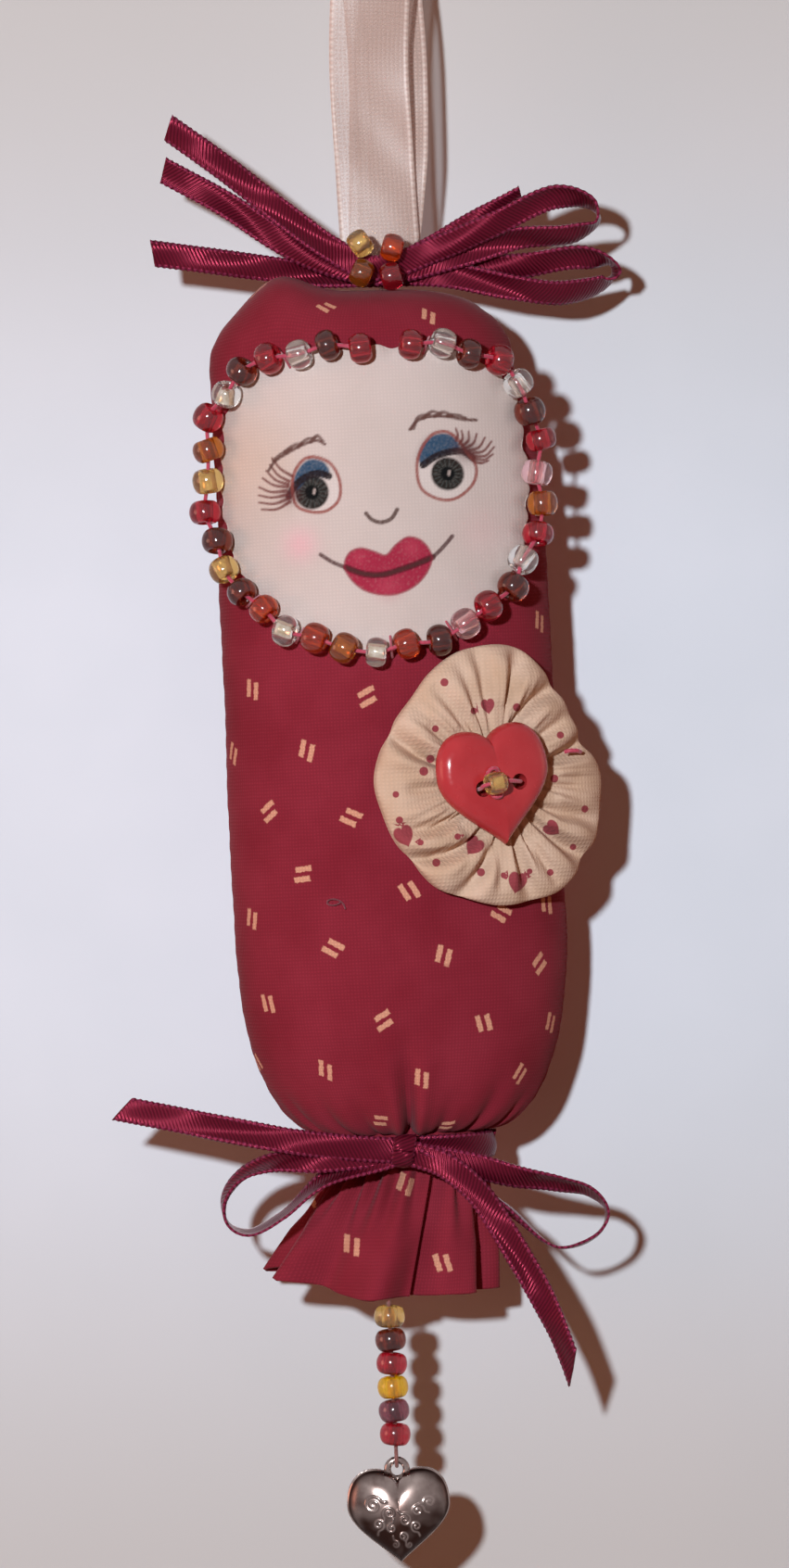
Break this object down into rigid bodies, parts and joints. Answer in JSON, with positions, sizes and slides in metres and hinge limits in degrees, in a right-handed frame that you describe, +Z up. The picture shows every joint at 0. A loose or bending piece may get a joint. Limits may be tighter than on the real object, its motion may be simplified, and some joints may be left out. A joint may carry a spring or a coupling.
{
  "type": "dotee doll",
  "caption": "Small limbless stuffed cloth doll with a beaded face, ribbon bows, a gathered rosette with a heart button, a bead strand with a heart charm, and a ribbon loop to hang it by.",
  "frame": {"origin": "the top of the hanging loop, where the hook carries it", "axes": "+Z up along the plumb line, the face looks along -Y, +X is to the right of someone facing the doll"},
  "size_m": [0.0685, 0.0346, 0.2072],
  "materials": {
    "printed_cotton": "matte",
    "plain_muslin": "matte",
    "fibrefill": "matte",
    "burgundy_satin": "satin",
    "sheer_organza": "satin",
    "heart_calico": "matte",
    "red_plastic": "gloss",
    "antique_silver": "satin",
    "pink_thread": "matte",
    "glass_red": "gloss",
    "glass_clear": "gloss",
    "glass_brown": "gloss",
    "glass_amber": "gloss",
    "glass_orange": "gloss",
    "glass_yellow": "gloss",
    "glass_plum": "gloss"
  },
  "bodies": {
    "hanger": {"hanging_ribbon": "sheer_organza"},
    "doll": {"body_front_panel": "printed_cotton", "body_back_panel": "printed_cotton", "fibre_filling": "fibrefill", "tail_ruffle": "printed_cotton", "face_patch": "plain_muslin", "face_bead_thread": "pink_thread", "hair_ribbon_upper": "burgundy_satin", "hair_ribbon_lower": "burgundy_satin", "tie_ribbon": "burgundy_satin", "yo_yo": "heart_calico", "face_bead_01": "glass_red", "face_bead_02": "glass_clear", "face_bead_03": "glass_brown", "face_bead_04": "glass_red", "face_bead_05": "glass_clear", "face_bead_06": "glass_brown", "face_bead_07": "glass_red", "face_bead_08": "glass_clear", "face_bead_09": "glass_amber", "face_bead_10": "glass_red", "face_bead_11": "glass_clear", "face_bead_12": "glass_brown", "face_bead_13": "glass_red", "face_bead_14": "glass_clear", "face_bead_15": "glass_brown", "face_bead_16": "glass_orange", "face_bead_17": "glass_clear", "face_bead_18": "glass_amber", "face_bead_19": "glass_orange", "face_bead_20": "glass_clear", "face_bead_21": "glass_orange", "face_bead_22": "glass_red", "face_bead_23": "glass_amber", "face_bead_24": "glass_brown", "face_bead_25": "glass_red", "face_bead_26": "glass_amber", "face_bead_27": "glass_amber", "face_bead_28": "glass_red", "face_bead_29": "glass_amber", "face_bead_30": "glass_brown", "face_bead_31": "glass_red", "face_bead_32": "glass_clear", "face_bead_33": "glass_amber", "face_bead_34": "glass_red", "crown_bead_1": "glass_amber", "crown_bead_2": "glass_orange", "crown_bead_3": "glass_amber", "crown_bead_4": "glass_red"},
    "button": {"heart_button": "red_plastic", "button_bead": "glass_amber"},
    "strand": {"dangle_thread": "pink_thread"},
    "strand_bead_1": {"dangle_bead_1": "glass_clear"},
    "strand_bead_2": {"dangle_bead_2": "glass_brown"},
    "strand_bead_3": {"dangle_bead_3": "glass_red"},
    "strand_bead_4": {"dangle_bead_4": "glass_yellow"},
    "strand_bead_5": {"dangle_bead_5": "glass_plum"},
    "strand_bead_6": {"dangle_bead_6": "glass_red"},
    "charm": {"heart_charm": "antique_silver"}
  },
  "joints": [
    {"name": "doll_swing", "type": "hinge", "parent": "hanger", "child": "doll", "pos_m": [0.0002, 0.0009, -0.0468], "axis": [0, 1, 0], "range_deg": [-25, 25]},
    {"name": "button_turn", "type": "hinge", "parent": "doll", "child": "button", "pos_m": [0.0103, -0.01498, -0.1103], "axis": [0.3931, -0.9195, 0], "range_deg": [-12, 12], "stiffness_Nm_per_rad": 0.0005},
    {"name": "strand_swing", "type": "hinge", "parent": "doll", "child": "strand", "pos_m": [-0.00559, -0.00829, -0.1742], "axis": [0, 1, 0], "range_deg": [-30, 30]},
    {"name": "charm_swing", "type": "hinge", "parent": "strand", "child": "charm", "pos_m": [-0.00559, -0.00829, -0.19495], "axis": [0, 1, 0], "range_deg": [-35, 35]},
    {"name": "strand_bead_1_spin", "type": "hinge", "parent": "strand", "child": "strand_bead_1", "pos_m": [-0.00559, -0.00829, -0.17615], "axis": [0, 0, 1], "continuous": true},
    {"name": "strand_bead_2_spin", "type": "hinge", "parent": "strand", "child": "strand_bead_2", "pos_m": [-0.00559, -0.00829, -0.17911], "axis": [0, 0, 1], "continuous": true},
    {"name": "strand_bead_3_spin", "type": "hinge", "parent": "strand", "child": "strand_bead_3", "pos_m": [-0.00559, -0.00829, -0.18207], "axis": [0, 0, 1], "continuous": true},
    {"name": "strand_bead_4_spin", "type": "hinge", "parent": "strand", "child": "strand_bead_4", "pos_m": [-0.00559, -0.00829, -0.18503], "axis": [0, 0, 1], "continuous": true},
    {"name": "strand_bead_5_spin", "type": "hinge", "parent": "strand", "child": "strand_bead_5", "pos_m": [-0.00559, -0.00829, -0.18799], "axis": [0, 0, 1], "continuous": true},
    {"name": "strand_bead_6_spin", "type": "hinge", "parent": "strand", "child": "strand_bead_6", "pos_m": [-0.00559, -0.00829, -0.19095], "axis": [0, 0, 1], "continuous": true}
  ]
}
